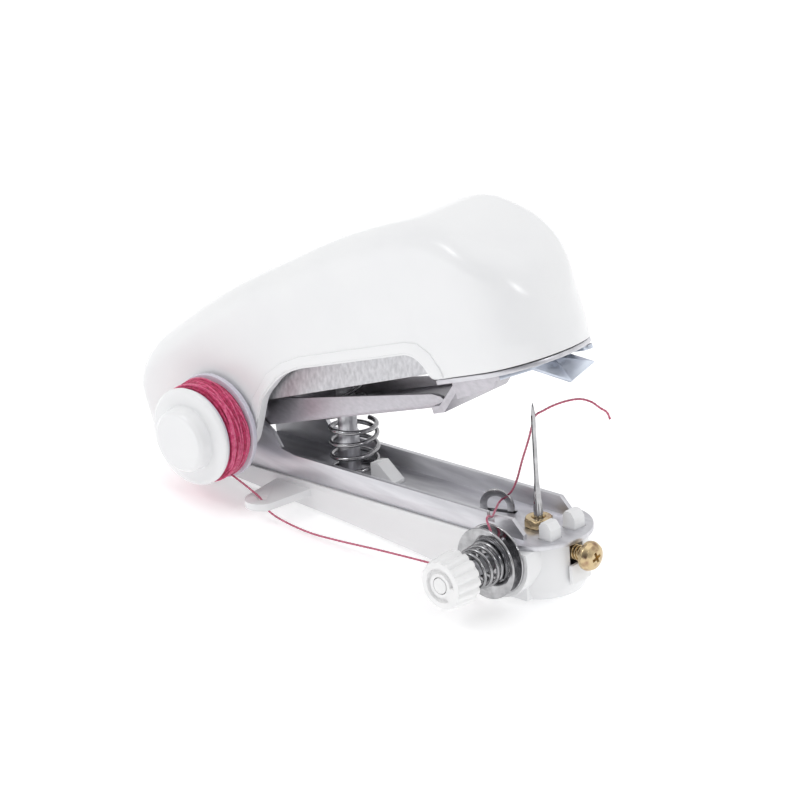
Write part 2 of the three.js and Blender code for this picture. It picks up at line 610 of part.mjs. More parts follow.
// ---- presser ----------------------------------------------------------------------------
function presserPlate() {
  const flange = [
    ...arc(0, 0, 3.4, 110, 300, 12), [53.6, -4.1], [53.6, -3.2], [52.8, -2.2], [50.8, -1.5], [7.3, 1.9],
  ];
  const floor = [[4, -2.5], [54, -3.5], [54, -2.7], [4, -1.7]];
  const ramp = [
    [52.4, -4.6], [55.3, -4.6], [61.7, FOOT_LOW], [61.7, FOOT_TOP], [60.6, FOOT_TOP], [54.6, -3.25],
    [52.4, -3.25],
  ];
  const wing = [[61, -2.2], [63.8, -1.9], [71, -1], [72.4, 0.6], [61.3, 0.6]];
  const foot = [
    [60.9, -10], [73.2, -10], [76.9, -5.4], [76.9, 4.6], [77.4, 5], ...arc(80.6, 6.1, 1.1, -90, 90, 6),
    [76.4, 7.4], [73.2, 10], [60.9, 10],
  ];
  const lip = foldedSheet(
    [[76, -4.9, 0.4], [76, 1.3, 0.4], [76, 4.2, 0.4], [79.6, 0.5, -4.3], [82.2, 4.9, -2.3]],
    [[0, 3, 1], [1, 3, 4], [1, 4, 2]], [0, 3, 4, 2, 1], [0.55, 0, 0.35],
  );
  return cut(
    join(
      lip, sidePlate(flange, -PRESSER_HALF_W, -PRESSER_HALF_W + 0.8),
      sidePlate(flange, PRESSER_HALF_W - 0.8, PRESSER_HALF_W),
      sidePlate(floor, -PRESSER_HALF_W, PRESSER_HALF_W),
      sidePlate(ramp, -8.6, 8.6),
      sidePlate(wing, -10, -9.2), sidePlate(wing, 9.2, 10),
      flatPlate(foot, FOOT_LOW, FOOT_TOP),
    ),
    pinHole,
    box(17.6, 24.6, -2.6, 2.6, -6, 0),
    box(65.2, 71.8, -1.6, 1.6, -1, 3),
  );
}

// a bent sheet: flat corner points, the triangles between them, the rim order and a thickness step
function foldedSheet(points, triangles, rim, step) {
  const back = points.map((p) => p.map((value, i) => value + step[i]));
  const count = points.length;
  const index = triangles.flatMap(([a, b, c]) => [a, b, c, a + count, c + count, b + count]);
  rim.forEach((a, i) => {
    const b = rim[(i + 1) % rim.length];
    index.push(b, a, a + count, b, a + count, b + count);
  });
  const geometry = new THREE.BufferGeometry();
  geometry.setAttribute('position', new THREE.BufferAttribute(new Float32Array([...points, ...back].flat()), 3));
  geometry.setIndex(index);
  return toSolid(geometry);
}

place(body, 'presser_plate', presserPlate(), STEEL);
place(body, 'spring_seat', turnedZ([
  [3.1, -3.9], [4.7, -3.9], [5, -3.5], [3.1, -3.5],
], 21.2, 0, 24), STEEL);
const upperSpring = tube(new Helix(3.5, 3.5, -1.7, 8.0, 3.5, 0), 0.35, 6, 56);
upperSpring.translate(22, 0, 0);
place(body, 'upper_spring', upperSpring, SPRING_STEEL);

// ---- stand the machine on its cup with the origin under the middle of its box -----------
machine.updateMatrixWorld(true);
const bounds = new THREE.Box3();
machine.traverse((part) => {
  if (part.isMesh && !part.name.startsWith('thread_')) bounds.expandByObject(part, true);
});
const centre = bounds.getCenter(new THREE.Vector3());
machine.position.set(-centre.x, -centre.y, -bounds.min.z);

export default machine;
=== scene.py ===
import math
import random

import bmesh
import bpy
from mathutils import Matrix, Vector


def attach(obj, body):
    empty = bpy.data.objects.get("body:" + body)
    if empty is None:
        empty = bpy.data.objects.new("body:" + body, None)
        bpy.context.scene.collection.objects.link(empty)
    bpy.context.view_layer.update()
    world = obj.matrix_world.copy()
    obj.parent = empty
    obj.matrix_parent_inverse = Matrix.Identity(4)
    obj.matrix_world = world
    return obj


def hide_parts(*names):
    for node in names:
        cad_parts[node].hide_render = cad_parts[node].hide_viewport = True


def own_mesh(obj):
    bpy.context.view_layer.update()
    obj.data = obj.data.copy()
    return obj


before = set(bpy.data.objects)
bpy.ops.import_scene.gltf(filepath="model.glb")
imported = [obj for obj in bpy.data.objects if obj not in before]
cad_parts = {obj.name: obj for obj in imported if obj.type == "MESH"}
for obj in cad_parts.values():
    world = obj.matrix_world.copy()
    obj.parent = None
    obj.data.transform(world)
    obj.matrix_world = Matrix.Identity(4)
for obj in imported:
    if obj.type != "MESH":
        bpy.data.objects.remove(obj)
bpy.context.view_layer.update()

# ---- the machine's own frames: millimetres, origin on the hinge axis --------------------
MM = 0.001
HINGE = Vector((-0.0299298, 0.0059, 0.0134112))
ARM_TILT = math.radians(7)
BODY_TILT = math.radians(25.4)


def turned(angle):
    """Millimetres about the hinge, tipped up by angle, into the row frame's metres."""
    return Matrix.Translation(HINGE) @ Matrix.Rotation(-angle, 4, "Y") @ Matrix.Scale(MM, 4)


ARM = turned(ARM_TILT)
BODY = turned(BODY_TILT)
ARM_TURN = Matrix.Rotation(-ARM_TILT, 4, "Y")

THREAD_R = 0.2
PIN_R = 1.5
BORE_R = 1.65
FLANGE_R = 10.15
TENSION = (66.5, -12.0)
NEEDLE_X = 67.8
POST_X = 20.9
MAIN_SPRING_X = 22.4
UPPER_SPRING_X = 22
SUPPLY_ROUTE = [
    (5.6, -16.5, -7.6), (7.2, -16.4, -8.3), (10.2, -16.2, -9.7), (12.7, -16, -11.2), (13.4, -16, -12.4),
    (15.2, -15.9, -13.6), (18, -15.6, -14.6), (23.8, -15, -15.7), (30.1, -14.6, -15.8), (40.7, -14, -15.5),
    (53.1, -12.9, -15.6), (59.5, -12.3, -15.9), (64.2, -12.05, -15.6), (67.4, -12.05, -14.5),
    (68.9, -12.05, -12), (68.1, -12.05, -8.6), (66.6, -12, -5.5), (65.3, -11.2, -4.5),
    (63.9, -9.2, -4.8), (62.5, -6.7, -6.1), (60.9, -4.2, -6.3), (58.6, -0.9, -6.8), (57.5, 0.5, -7.2),
]
NEEDLE_ROUTE = [
    (57.3, 0.8, -7.3), (57.1, 1.9, -7), (58.6, 2.7, -5.6), (60.6, 2.3, -2.8), (63.2, 1.5, 2.5),
    (65.4, 1.1, 7.2), (67, 0.85, 11.2), (67.9, 0.75, 12.7), (69.2, 1.2, 13.6), (71.1, 2, 14.8),
    (74, 3, 16.1), (76.4, 3.6, 16.7), (78.6, 4, 16.5), (80.6, 4, 15.8), (82.2, 4, 15.3), (82.9, 4, 14.1),
]


# ---- materials --------------------------------------------------------------------------
NOISE_DETAIL = 4.0
CELL_SCALE = 1.6
CELL_SHARE = 0.6
RAMP_STOPS = (0.32, 0.72)
RELIEF_DEPTH = 0.0002


def shader(name, dark, light, rough, metallic=0.0, scale=300.0, stretch=(1, 1, 1), bump=0.02,
           mottle=False, **extra):
    """A principled material whose colour, roughness and relief all vary with noise.

    mottle adds crystal-like cells to the noise. extra names other sockets of the shader.
    """
    m = bpy.data.materials.new(name)
    m.use_nodes = True
    nodes, links = m.node_tree.nodes, m.node_tree.links
    out = nodes["Principled BSDF"]
    place = nodes.new("ShaderNodeTexCoord")
    mapping = nodes.new("ShaderNodeMapping")
    mapping.inputs["Scale"].default_value = stretch
    links.new(place.outputs["Object"], mapping.inputs["Vector"])
    noise = nodes.new("ShaderNodeTexNoise")
    noise.inputs["Scale"].default_value = scale
    noise.inputs["Detail"].default_value = NOISE_DETAIL
    links.new(mapping.outputs["Vector"], noise.inputs["Vector"])
    value = noise.outputs["Fac"]
    if mottle:
        cells = nodes.new("ShaderNodeTexVoronoi")
        cells.inputs["Scale"].default_value = scale * CELL_SCALE
        links.new(mapping.outputs["Vector"], cells.inputs["Vector"])
        blend = nodes.new("ShaderNodeMath")
        blend.operation = "ADD"
        part = nodes.new("ShaderNodeMath")
        part.operation = "MULTIPLY"
        part.inputs[1].default_value = CELL_SHARE
        links.new(cells.outputs["Distance"], part.inputs[0])
        links.new(noise.outputs["Fac"], blend.inputs[0])
        links.new(part.outputs[0], blend.inputs[1])
        value = blend.outputs[0]
    ramp = nodes.new("ShaderNodeValToRGB")
    for stop, position, colour in zip(ramp.color_ramp.elements, RAMP_STOPS, (dark, light)):
        stop.position = position
        stop.color = (*colour, 1)
    links.new(value, ramp.inputs["Fac"])
    links.new(ramp.outputs["Color"], out.inputs["Base Color"])
    spread = nodes.new("ShaderNodeMapRange")
    spread.inputs["To Min"].default_value = rough[0]
    spread.inputs["To Max"].default_value = rough[1]
    links.new(value, spread.inputs["Value"])
    links.new(spread.outputs["Result"], out.inputs["Roughness"])
    relief = nodes.new("ShaderNodeBump")
    relief.inputs["Strength"].default_value = bump
    relief.inputs["Distance"].default_value = RELIEF_DEPTH
    links.new(value, relief.inputs["Height"])
    links.new(relief.outputs["Normal"], out.inputs["Normal"])
    out.inputs["Metallic"].default_value = metallic
    for socket, constant in extra.items():
        out.inputs[socket.replace("_", " ")].default_value = constant
    return m


WHITE = shader("white_gloss", (0.84, 0.845, 0.855), (0.875, 0.88, 0.885), (0.18, 0.26), scale=60, bump=0.015)
KNOB_WHITE = shader("white_satin", (0.86, 0.86, 0.86), (0.92, 0.92, 0.92), (0.3, 0.42), scale=240, bump=0.05)
CLEAR = shader("bobbin_clear", (0.80, 0.78, 0.90), (0.92, 0.91, 0.97), (0.12, 0.22), scale=110,
               Transmission_Weight=0.2, IOR=1.46)
SHEET = shader("brushed_sheet", (0.56, 0.56, 0.59), (0.74, 0.74, 0.77), (0.34, 0.46), 0.95, 520,
               (0.12, 1, 1), 0.06)
ZINC_PLATE = shader("zinc_spangle", (0.46, 0.46, 0.48), (0.66, 0.66, 0.68), (0.36, 0.5), 0.95, 1500,
                    (1, 1, 0.5), 0.1)
SATIN = shader("presser_satin", (0.48, 0.47, 0.50), (0.57, 0.55, 0.59), (0.34, 0.44), 1.0, 1600,
               (0.5, 1, 1), 0.04)
BRIGHT = shader("polished_metal", (0.34, 0.34, 0.35), (0.56, 0.56, 0.57), (0.08, 0.16), 1.0, 500, bump=0.02)
# a lighter bluish copy of the presser steel: a painted reflection on the presser's lip
LIP_PAINTED_REFLECTION = shader("presser_painted_reflection", (0.56, 0.61, 0.70), (0.72, 0.77, 0.85), (0.28, 0.4), 0.85, 260, bump=0.01)
WIRE = shader("spring_wire", (0.26, 0.26, 0.27), (0.46, 0.46, 0.47), (0.14, 0.26), 1.0, 900, bump=0.03)
YELLOW = shader("yellow_plating", (0.24, 0.11, 0.08), (0.60, 0.47, 0.28), (0.12, 0.26), 1.0, 420,
                mottle=True, bump=0.05)
DARK = shader("oiled_metal", (0.10, 0.10, 0.11), (0.2, 0.2, 0.21), (0.3, 0.45), 0.9, 300, bump=0.08)
THREAD = shader("wound_crimson", (0.34, 0.008, 0.055), (0.70, 0.05, 0.18), (0.5, 0.7), 0.0, 1400,
                bump=0.4, Sheen_Weight=0.3, Sheen_Roughness=0.4)
# a lighter pink copy of the crimson thread: a painted highlight, laid on some of the windings
THREAD_PAINTED_HIGHLIGHT = shader("lit_crimson", (0.62, 0.045, 0.16), (0.86, 0.20, 0.36), (0.45, 0.65), 0.0, 1500,
              bump=0.3, Sheen_Weight=0.4, Sheen_Roughness=0.4)
LOOSE = shader("loose_crimson", (0.44, 0.07, 0.13), (0.70, 0.22, 0.32), (0.5, 0.7), 0.0, 2200,
               bump=0.3, Sheen_Weight=0.3, Sheen_Roughness=0.4)


# ---- mesh helpers -----------------------------------------------------------------------
def finish_mesh(obj, sharp=38.0):
    """Smooth faces with sharp edges where the surface turns hard."""
    bm = bmesh.new()
    bm.from_mesh(obj.data)
    bmesh.ops.recalc_face_normals(bm, faces=bm.faces)
    limit = math.radians(sharp)
    for face in bm.faces:
        face.smooth = True
    for edge in bm.edges:
        edge.smooth = len(edge.link_faces) != 2 or edge.calc_face_angle() < limit
    bm.to_mesh(obj.data)
    bm.free()


def to_object(name, bm):
    mesh = bpy.data.meshes.new(name)
    bm.to_mesh(mesh)
    bm.free()
    obj = bpy.data.objects.new(name, mesh)
    bpy.context.scene.collection.objects.link(obj)
    return obj


def settle(obj):
    """Applies the object's modifiers to its mesh."""
    graph = bpy.context.evaluated_depsgraph_get()
    graph.update()
    mesh = bpy.data.meshes.new_from_object(obj.evaluated_get(graph))
    obj.modifiers.clear()
    obj.data = mesh


def combine(base, tools, operation):
    """Joins or cuts base with each tool in turn; the tools are used up."""
    for tool in tools:
        step = base.modifiers.new("step", "BOOLEAN")
        step.operation = operation
        step.solver = "EXACT"
        step.object = tool
        settle(base)
        bpy.data.objects.remove(tool)
    return base


def bevel(obj, width, segments=2, angle=35):
    """Rounds every edge sharper than angle; width is in the mesh's own units."""
    step = obj.modifiers.new("edges", "BEVEL")
    step.width = width
    step.segments = segments
    step.limit_method = "ANGLE"
    step.angle_limit = math.radians(angle)
    step.use_clamp_overlap = True
    settle(obj)
    return obj


def add_piece(obj, matrix, material, body, nodes, sharp=38.0):
    """Places a finished mesh on a body, in its material, in place of the CAD nodes named."""
    obj.data.transform(matrix)
    finish_mesh(obj, sharp)
    obj.data.materials.clear()
    obj.data.materials.append(material)
    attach(obj, body)
    if nodes:
        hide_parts(*nodes)
    return obj


def fillet(points, radius, steps=4, closed=True):
    """Rounds the corners of a polyline of pairs."""
    out = []
    count = len(points)
    for i, point in enumerate(points):
        if not closed and i in (0, count - 1):
            out.append(tuple(point))
            continue
        here = Vector(point)
        before = Vector(points[i - 1]) - here
        after = Vector(points[(i + 1) % count]) - here
        reach = min(radius, before.length * 0.45, after.length * 0.45)
        a = here + before.normalized() * reach
        b = here + after.normalized() * reach
        for k in range(steps + 1):
            t = k / steps
            out.append(tuple((1 - t) ** 2 * a + 2 * t * (1 - t) * here + t * t * b))
    return out


def arc(cx, cy, r, start, end, steps):
    return [
        (cx + r * math.cos(math.radians(start + (end - start) * i / steps)),
         cy + r * math.sin(math.radians(start + (end - start) * i / steps)))
        for i in range(steps + 1)
    ]


def prism(name, points, low, high, along):
    """A plate whose outline lies across the axis named by along."""
    spots = {"X": lambda a, b, h: (h, a, b), "Y": lambda a, b, h: (a, h, b), "Z": lambda a, b, h: (a, b, h)}
    bm = bmesh.new()
    rows = [[bm.verts.new(spots[along](a, b, h)) for a, b in points] for h in (low, high)]
    bm.faces.new(rows[0])
    bm.faces.new(rows[1])
    for i in range(len(points)):
        j = (i + 1) % len(points)
        bm.faces.new((rows[0][i], rows[0][j], rows[1][j], rows[1][i]))
    bmesh.ops.recalc_face_normals(bm, faces=bm.faces)
    return to_object(name, bm)


def lathe(name, profile, steps=96, wave=None):
    """A closed profile of (radius, height) turned round Z. wave(r, h, angle) may move each point."""
    bm = bmesh.new()
    rings = []
    for r, h in profile:
        if r < 0.01:
            rings.append([bm.verts.new((0, 0, h))])
            continue
        ring = []
        for k in range(steps):
            angle = 2 * math.pi * k / steps
            radius, height = wave(r, h, angle) if wave else (r, h)
            ring.append(bm.verts.new((radius * math.cos(angle), radius * math.sin(angle), height)))
        rings.append(ring)
    for i in range(len(rings)):
        a, b = rings[i], rings[(i + 1) % len(rings)]
        for k in range(steps):
            n = (k + 1) % steps
            if len(a) == 1 and len(b) == 1:
                break
            if len(a) == 1:
                bm.faces.new((a[0], b[n], b[k]))
            elif len(b) == 1:
                bm.faces.new((a[k], a[n], b[0]))
            else:
                bm.faces.new((a[k], a[n], b[n], b[k]))
    bmesh.ops.recalc_face_normals(bm, faces=bm.faces)
    return to_object(name, bm)


def along_y(x, z):
    """Turns a lathe's Z onto the machine's Y at x, z."""
    return Matrix.Translation((x, 0, z)) @ Matrix.Rotation(-math.pi / 2, 4, "X")


def along_z(x, y):
    return Matrix.Translation((x, y, 0))


def tube(name, path, radius, sides=10, twist=0.0, relief=0.0):
    """A closed round tube along a dense path; twist turns a small two-ply relief along it."""
    path = [Vector(p) for p in path]
    bm = bmesh.new()
    rings = []
    ahead = (path[1] - path[0]).normalized()
    normal = ahead.orthogonal().normalized()
    travelled = 0.0
    for i, point in enumerate(path):
        step = path[min(i + 1, len(path) - 1)] - path[max(i - 1, 0)]
        direction = step.normalized()
        normal = (normal - direction * normal.dot(direction)).normalized()
        other = direction.cross(normal)
        if i:
            travelled += (point - path[i - 1]).length
        ring = []
        for k in range(sides):
            angle = 2 * math.pi * k / sides
            r = radius * (1 + relief * math.cos(2 * angle - twist * travelled))
            ring.append(bm.verts.new(point + normal * r * math.cos(angle) + other * r * math.sin(angle)))
        rings.append(ring)
    for a, b in zip(rings, rings[1:]):
        for k in range(sides):
            n = (k + 1) % sides
            bm.faces.new((a[k], a[n], b[n], b[k]))
    bm.faces.new(rings[0][::-1])
    bm.faces.new(rings[-1])
    return to_object(name, bm)


def helix(r0, r1, z0, z1, turns, phase=0.0, flat=0.5, steps=720):
    """Spring path along Z whose end coils lie nearly flat."""
    out = []
    for i in range(steps + 1):
        t = i / steps
        turned_by = turns * t
        rise = max(0.0, min(1.0, (turned_by - flat) / (turns - 2 * flat)))
        r = r0 + (r1 - r0) * rise
        angle = phase + 2 * math.pi * turned_by
        out.append((r * math.cos(angle), r * math.sin(angle), z0 + (z1 - z0) * (0.04 * t + 0.96 * rise)))
    return out


def smooth_route(route, per_step):
    """Centripetal Catmull-Rom points through the route."""
    points = [Vector(p) for p in route]
    points = [2 * points[0] - points[1], *points, 2 * points[-1] - points[-2]]
    out = []
    for i in range(1, len(points) - 2):
        p0, p1, p2, p3 = points[i - 1:i + 3]
        t01, t12, t23 = [max((b - a).length, 1e-6) ** 0.5 for a, b in ((p0, p1), (p1, p2), (p2, p3))]
        m1 = ((p1 - p0) / t01 - (p2 - p0) / (t01 + t12) + (p2 - p1) / t12) * t12
        m2 = ((p2 - p1) / t12 - (p3 - p1) / (t12 + t23) + (p3 - p2) / t23) * t12
        for k in range(per_step):
            t = k / per_step
            out.append((2 * t ** 3 - 3 * t ** 2 + 1) * p1 + (t ** 3 - 2 * t ** 2 + t) * m1
                       + (-2 * t ** 3 + 3 * t ** 2) * p2 + (t ** 3 - t ** 2) * m2)
    out.append(points[-2])
    return out


def refine(node, body, material, width, segments=2):
    """A finer copy of a CAD node with eased edges, standing for it."""
    obj = bpy.data.objects.new("fine_" + node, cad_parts[node].data.copy())
    bpy.context.scene.collection.objects.link(obj)
    bm = bmesh.new()
    bm.from_mesh(obj.data)
    bmesh.ops.remove_doubles(bm, verts=bm.verts, dist=1e-6)
    bmesh.ops.dissolve_limit(bm, angle_limit=math.radians(1.0), verts=bm.verts, edges=bm.edges)
    bm.to_mesh(obj.data)
    bm.free()
    bevel(obj, width, segments, 30)
    return add_piece(obj, Matrix.Identity(4), material, body, [node])


# ---- camera -----------------------------------------------------------------------------
VIEW_AZIMUTH = math.radians(43.64)
VIEW_ELEVATION = math.radians(21.71)
VIEW_ROLL = math.radians(3.59)
VIEW_DISTANCE = 1.2
level = Vector((math.cos(VIEW_AZIMUTH), math.sin(VIEW_AZIMUTH), 0))
back = Vector((math.sin(VIEW_AZIMUTH) * math.cos(VIEW_ELEVATION),
               -math.cos(VIEW_AZIMUTH) * math.cos(VIEW_ELEVATION), math.sin(VIEW_ELEVATION)))
upward = back.cross(level)
image_right = math.cos(VIEW_ROLL) * level - math.sin(VIEW_ROLL) * upward
image_up = math.sin(VIEW_ROLL) * level + math.cos(VIEW_ROLL) * upward
target = ARM @ (Vector((48.4, 0, 4.6)) - 10.27 * image_right + 6.31 * image_up)
turn = ARM_TURN.to_3x3()
axes = Matrix((turn @ image_right, turn @ image_up, turn @ back)).transposed()
camera_data = bpy.data.cameras.new("camera")
camera_data.lens = 294
camera_data.sensor_width = 36
camera_data.clip_start = 0.01
camera_data.clip_end = 50
camera = bpy.data.objects.new("camera", camera_data)
camera.matrix_world = Matrix.Translation(target + turn @ back * VIEW_DISTANCE) @ axes.to_4x4()
bpy.context.scene.collection.objects.link(camera)
bpy.context.scene.camera = camera


# ---- free threads -----------------------------------------------------------------------
def free_thread(name, route, node):
    """A loose thread along its route."""
    path = smooth_route(route, 26)
    piece = tube(name, path, THREAD_R, 10, 7.5, 0.1)
    add_piece(piece, ARM, LOOSE, "arm", [node], 180)
    return piece


free_thread("thread_to_ring", SUPPLY_ROUTE, "thread_supply")
tail = free_thread("thread_through_eye", NEEDLE_ROUTE, "thread_needle")

# ---- upper body: white shell --------------------------------------------------------------
SHELL_REAR = -19.9
NOSE_X = 71.4
HALF_W = 12.4
SHELL_FRONT = NOSE_X + HALF_W
REAR_R = 2.2
TOP_R = 5.4
WALL = 1.8
SHELL_TOP = smooth_route([(x, 0, z) for x, z in [
    (SHELL_REAR, 9.5), (-19.3, 12.2), (-17.2, 14.9), (-14.2, 16.9), (-8, 19.3), (8, 24.1), (24, 27.3),
    (41, 30.2), (55, 31.3), (64.5, 31.1), (69.5, 29.1), (74.5, 25.9), (79, 22.3), (82.2, 18.2),
    (SHELL_FRONT, 12.3),
]], 20)
# below the belt the nose is stepped in a little, from BELT_FROM forward
BELT = (4.9, 5.1)
BELT_STEP = 0.09
BELT_FROM = 60
NOSE_ANGLES = (3, 6, 9, 12, 15, *range(19, 72, 4), 74.5, 78, 81, 83.5, 86, 88)


def top_at(x):
    if x <= SHELL_REAR:
        return SHELL_TOP[0].z
    for a, b in zip(SHELL_TOP, SHELL_TOP[1:]):
        if b.x >= x:
            return a.z + (b.z - a.z) * (x - a.x) / max(b.x - a.x, 1e-9)
    return SHELL_TOP[-1].z


def half_width_at(x, inset):
    r = HALF_W - inset
    into = x - (SHELL_REAR + inset)
    if into < REAR_R:
        return r - REAR_R + math.sqrt(max(REAR_R ** 2 - (REAR_R - into) ** 2, 0))
    if x <= NOSE_X:
        return r
    return math.sqrt(max(r ** 2 - (x - NOSE_X) ** 2, 0.01))


def shell_blank(name, inset, low):
    """The shell's outer form pulled in by inset, as rings across X."""
    rear = SHELL_REAR + inset
    front = SHELL_FRONT - inset
    stations = [rear + REAR_R * (1 - math.cos(math.radians(a))) for a in range(2, 90, 8)]
    stations += [rear + REAR_R + (NOSE_X - rear - REAR_R) * i / 60 for i in range(61)]
    stations += [NOSE_X + (front - NOSE_X) * math.sin(math.radians(a)) for a in NOSE_ANGLES]
    bm = bmesh.new()
    rings = []
    for x in stations:
        w = half_width_at(x, inset)
        share = (x - rear) / (front - rear)
        top = top_at(SHELL_REAR + share * (SHELL_FRONT - SHELL_REAR)) - inset
        r = min(TOP_R, w * 0.85)
        step = BELT_STEP if x > BELT_FROM and not inset else 0
        side = [(w - step, low), (w - step, BELT[0]), (w, BELT[1])]
        side += [(w, BELT[1] + (top - r - BELT[1]) * i / 8) for i in range(1, 8)]
        outline = side + arc(w - r, top - r, r, 0, 90, 12)
        outline += arc(r - w, top - r, r, 90, 180, 12) + [(-y, z) for y, z in reversed(side)]
        rings.append([bm.verts.new((x, y, z)) for y, z in outline])
    count = len(rings[0])
    for a, b in zip(rings, rings[1:]):
        for k in range(count):
            n = (k + 1) % count
            bm.faces.new((a[k], a[n], b[n], b[k]))
    bm.faces.new(rings[0])
    bm.faces.new(rings[-1][::-1])
    bmesh.ops.recalc_face_normals(bm, faces=bm.faces)
    return to_object(name, bm)


LOW_EDGE = [
    (95, 2.45), (58.6, 2.45), (57.4, 5.3), (55.9, 7.0), (53.9, 7.8), (25.2, 8.1), (21.4, 7.6), (18.4, 6.6),
    (13.1, 3.5), (9.8, -1.2), (7, -4.8), (2, -6.6), (-13, -6.6), (-16.6, -5.6), (-30, -3),
]
RIM_OUT = [(8.4, 0.6), (10.4, 3.75), (16.2, 8.05), (20.5, 9.6), (26.1, 10.35), (54.6, 10.2), (57.6, 9.6),
           (60.2, 7.4), (61.4, 4.6), (61.8, 2.6)]
RIM_IN = [(59.2, 2.6), (58.4, 4.3), (57.2, 6.2), (55.8, 7.5), (53.9, 8.15), (25.2, 8.45), (21.4, 7.95),
          (18.2, 6.95), (12.8, 3.8), (9.6, -0.9)]
shell = combine(shell_blank("shell", 0, -12), [shell_blank("shell_inside", WALL, -14)], "DIFFERENCE")
below = prism("below", [(-30, -20), (95, -20), *fillet(LOW_EDGE, 1.5, 4, False)], -20, 20, "Y")
shell = combine(shell, [below], "DIFFERENCE")
shell = combine(shell, [prism("pin_hole", arc(0, 0, BORE_R, 0, 352.5, 47), -20, 20, "Y")], "DIFFERENCE")
bevel(shell, 0.28, 3, 40)
add_piece(shell, BODY, WHITE, "upper_body", ["body_shell"], 45)
for side in (-1, 1):
    low, high = sorted((side * (HALF_W - 0.3), side * (HALF_W + 0.22)))
    rim = prism("window_rim", RIM_OUT + RIM_IN, low, high, "Y")
    bevel(rim, 0.18, 3, 50)
    add_piece(rim, BODY, WHITE, "upper_body", [], 60)

# ---- upper body: steel and stitch gear ------------------------------------------------------
STITCH_GEAR = [
    ("upper_frame", "upper_body", ZINC_PLATE, 0.00012), ("throat_plate", "upper_body", SHEET, 0.00012),
    ("drive_crank", "crank", DARK, 0.0001), ("crank_pin", "upper_body", SHEET, 0.0001),
    ("looper_slide", "slide", SHEET, 0.0001), ("looper", "hook", BRIGHT, 0.0001),
    ("looper_pin", "upper_body", SHEET, 0.0001), ("feed_dog", "feed", DARK, 0.00006),
    *[(f"frame_screw_{number}", "upper_body", SHEET, 0.0001) for number in (1, 2)],
    *[(f"plate_screw_{number}", "upper_body", BRIGHT, 0.00008) for number in (1, 2, 3)],
]
for node, rides_on, look, edge_width in STITCH_GEAR:
    refine(node, rides_on, look, edge_width)
presser = refine("presser_plate", "presser", SATIN, 0.00012)
presser.data.materials.append(LIP_PAINTED_REFLECTION)
# forward of here the presser's lip gets a lighter bluish copy of its steel, a painted reflection
PAINTED_REFLECTION_FROM = 73.5
to_body = BODY.inverted()
# faces forward of the line take the painted reflection material
for face in presser.data.polygons:
    face.material_index = int((to_body @ face.center).x > PAINTED_REFLECTION_FROM)
refine("spring_seat", "presser", BRIGHT, 0.00008)

# ---- needle arm ---------------------------------------------------------------------------
refine("arm_channel", "arm", SHEET, 0.00014)
refine("arm_cover", "arm", WHITE, 0.0003, 3)
backing_outline = fillet([(-2.6, -17.4), (2.6, -17.4), (2.6, -13.8), (-2.6, -13.8)], 0.3)
backing = prism("slot_backing", backing_outline, 77, 77.6, "X")
add_piece(backing, ARM, WHITE, "arm", [], 40)

needle = lathe("needle_fine", [
    (0, -16.5), (0.85, -16.5), (0.85, -4.6), (0.78, -4.1), (0.48, -0.6), (0.42, 0.4), (0.4, 9.8),
    (0.43, 10.8), (0.43, 12.6), (0.36, 13.4), (0.22, 14.5), (0.08, 15.2), (0, 15.3),
], 32)
eye = prism("eye", fillet([(-0.16, 11.7), (0.16, 11.7), (0.16, 12.9), (-0.16, 12.9)], 0.12), -2, 2, "Y")
groove_outline = fillet([(-0.13, -2), (0.13, -2), (0.13, 12.9), (-0.13, 12.9)], 0.08)
groove = prism("groove", groove_outline, -1.2, -0.24, "Y")
needle = combine(needle, [eye, groove], "DIFFERENCE")
add_piece(needle, ARM @ along_z(NEEDLE_X, 0), BRIGHT, "arm", ["needle"], 45)

hexagon = [(2.75 * math.cos(math.radians(60 * k)), 2.75 * math.sin(math.radians(60 * k))) for k in range(6)]
nut = prism("clamp_nut", hexagon, -8.7, -7.1, "Z")
crown = lathe("crown", [(0, -9), (2.9, -9), (2.9, -7.6), (2.3, -7.05), (0, -7.05)], 64)
nut = combine(nut, [crown], "INTERSECT")
sleeve = lathe("sleeve", [(0, -17.5), (2.4, -17.5), (2.4, -7.8), (0, -7.8)], 64)
nut = combine(nut, [sleeve], "UNION")
bore = lathe("bore", [(0, -18), (1.0, -18), (1.0, -7.7), (1.5, -6.9), (1.5, 0), (0, 0)], 48)
cross_bore = prism("cross_bore", arc(0, -12, BORE_R, 0, 352.5, 47), 0, 5, "X")
nut = combine(nut, [bore, cross_bore], "DIFFERENCE")
bevel(nut, 0.1, 2, 40)
add_piece(nut, ARM @ along_z(NEEDLE_X, 0), YELLOW, "arm", ["needle_clamp"], 40)

screw = lathe("clamp_screw_fine", fillet([
    (0, 10.6), (1.3, 10.6), (1.3, 1.3), (1.45, 0.9), (1.45, 0.1), (2.75, 0.1), (2.8, -0.7), (2.35, -1.6),
    (1.3, -2.12), (0, -2.2),
][::-1], 0.12, 3, False), 96)
screw.data.transform(Matrix.Rotation(math.pi, 4, "X"))
slots = []
for quarter in (0, 90):
    slot = prism("slot", [(-1.35, 2.6), (1.35, 2.6), (0.55, 0.9), (-0.55, 0.9)], -0.3, 0.3, "Y")
    slot.data.transform(Matrix.Rotation(math.radians(quarter + 20), 4, "Z"))
    slots.append(slot)
screw = combine(screw, slots, "DIFFERENCE")
bevel(screw, 0.06, 2, 45)
SCREW_AT = ARM @ Matrix.Translation((79.4, 0, -12)) @ Matrix.Rotation(math.pi / 2, 4, "Y")
add_piece(screw, SCREW_AT, YELLOW, "screw", ["clamp_screw"], 40)
ridge = tube("screw_thread", helix(1.34, 1.34, -9.8, -0.6, 13, 0, 0.4, 520), 0.17, 6)
add_piece(ridge, SCREW_AT, YELLOW, "screw", [], 180)

